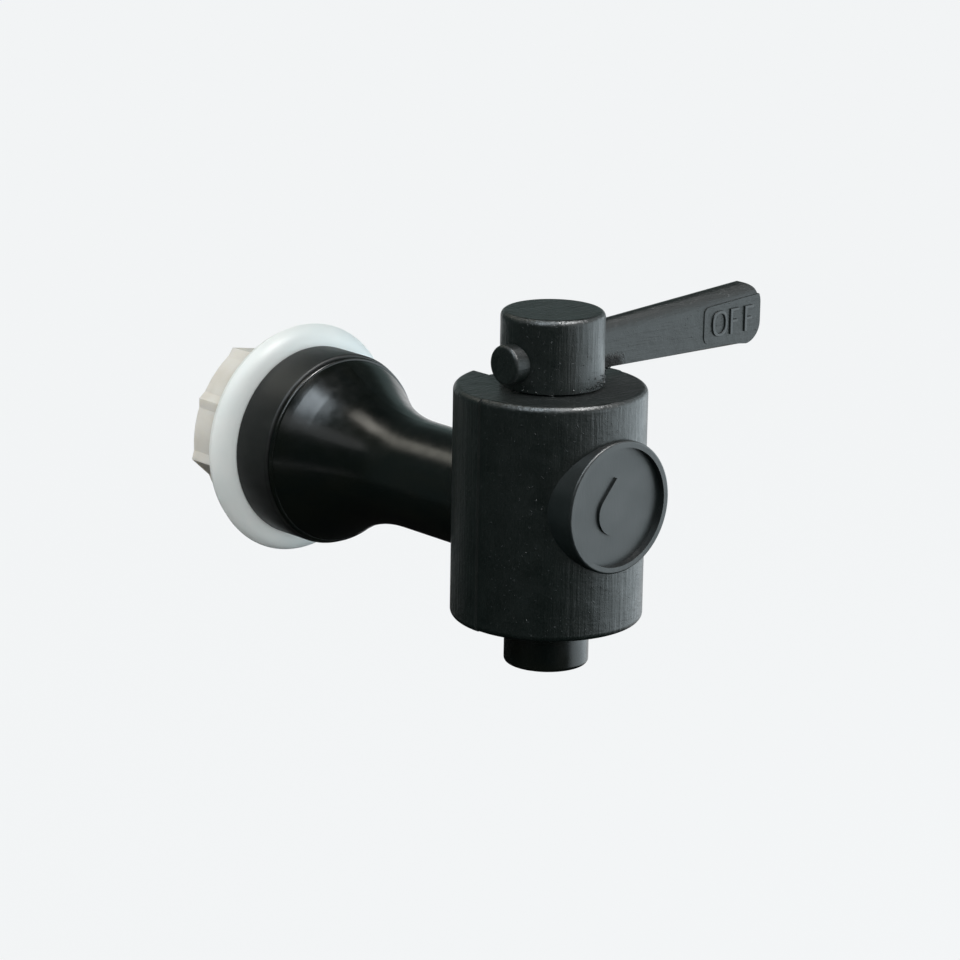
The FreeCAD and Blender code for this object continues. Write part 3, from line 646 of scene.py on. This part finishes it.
def curved_card(name, start_deg, end_deg, distance, low, high, glow=0.0):
    """A card bent round the tap; angles run from -Y towards -X."""
    steps = 12
    points = []
    for index in range(steps + 1):
        angle = math.radians(start_deg + (end_deg - start_deg) * index / steps)
        x, y = -math.sin(angle) * distance, AXIS_Y - math.cos(angle) * distance
        points += [(x, y, low), (x, y, high)]
    faces = [(2 * i, 2 * i + 2, 2 * i + 3, 2 * i + 1) for i in range(steps)]
    make_card(name, points, faces, glow)


def make_cards():
    """Cards below, above, to the left and behind the tap."""
    low, high = -0.1, 0.62
    under = [(-0.45, -0.45, low), (0.1, -0.45, low), (0.16, 0.3, low), (-0.45, 0.3, low)]
    make_card("card_under", under, [(0, 1, 2, 3)], seen_by_diffuse=True)
    over = [(-0.6, -0.65, high), (0.6, -0.65, high), (0.6, 0.6, high), (-0.6, 0.6, high)]
    make_card("card_over", over, [(0, 1, 2, 3)])
    curved_card("card_left", 5, 128, distance=0.55, low=low, high=0.3)
    curved_card("card_behind_left", 128, 188, distance=0.42, low=low, high=0.26, glow=0.08)
    curved_card("card_behind", 188, 262, distance=0.42, low=0.04, high=0.2, glow=0.28)
    curved_card("card_behind_high", 128, 275, distance=0.56, low=0.26, high=0.64, glow=0.05)


def make_camera():
    """The photograph's camera, aimed so that the body's top centre lands on its pixel."""
    sin_a, cos_a = math.sin(CAMERA_AZIMUTH), math.cos(CAMERA_AZIMUTH)
    sin_e, cos_e = math.sin(CAMERA_ELEVATION), math.cos(CAMERA_ELEVATION)
    back = Vector((-sin_a * cos_e, -cos_a * cos_e, sin_e))
    level_right = Vector((cos_a, -sin_a, 0))
    level_up = back.cross(level_right)
    right = level_right * math.cos(CAMERA_ROLL) + level_up * math.sin(CAMERA_ROLL)
    up = level_up * math.cos(CAMERA_ROLL) - level_right * math.sin(CAMERA_ROLL)
    off_x = IMAGE_PIXELS / 2 - BODY_TOP_PIXEL[0]
    off_y = BODY_TOP_PIXEL[1] - IMAGE_PIXELS / 2
    forward = (right * off_x + up * off_y - back * FOCAL_PIXELS).normalized()
    right = (right - forward * right.dot(forward)).normalized()
    up = right.cross(forward)
    data = bpy.data.cameras.new("camera")
    data.sensor_width = SENSOR_MM
    data.lens = FOCAL_PIXELS / IMAGE_PIXELS * SENSOR_MM
    data.clip_start = 0.01
    data.clip_end = 100
    camera = link_object("camera", data)
    place = Vector((0, AXIS_Y, BODY_TOP)) + back * CAMERA_DISTANCE
    turn = Matrix((right, up, -forward)).transposed().to_4x4()
    camera.matrix_world = Matrix.Translation(place) @ turn
    bpy.context.scene.camera = camera


materials = dress_cad_nodes()
make_lettering(materials["smooth_black_plastic"])
make_thread(materials["gloss_black_plastic"])
make_print_scars(materials["printed_black_plastic"])
make_floor()
make_cards()
make_lamps()
make_world()
make_camera()
bpy.context.scene.view_settings.view_transform = "Standard"
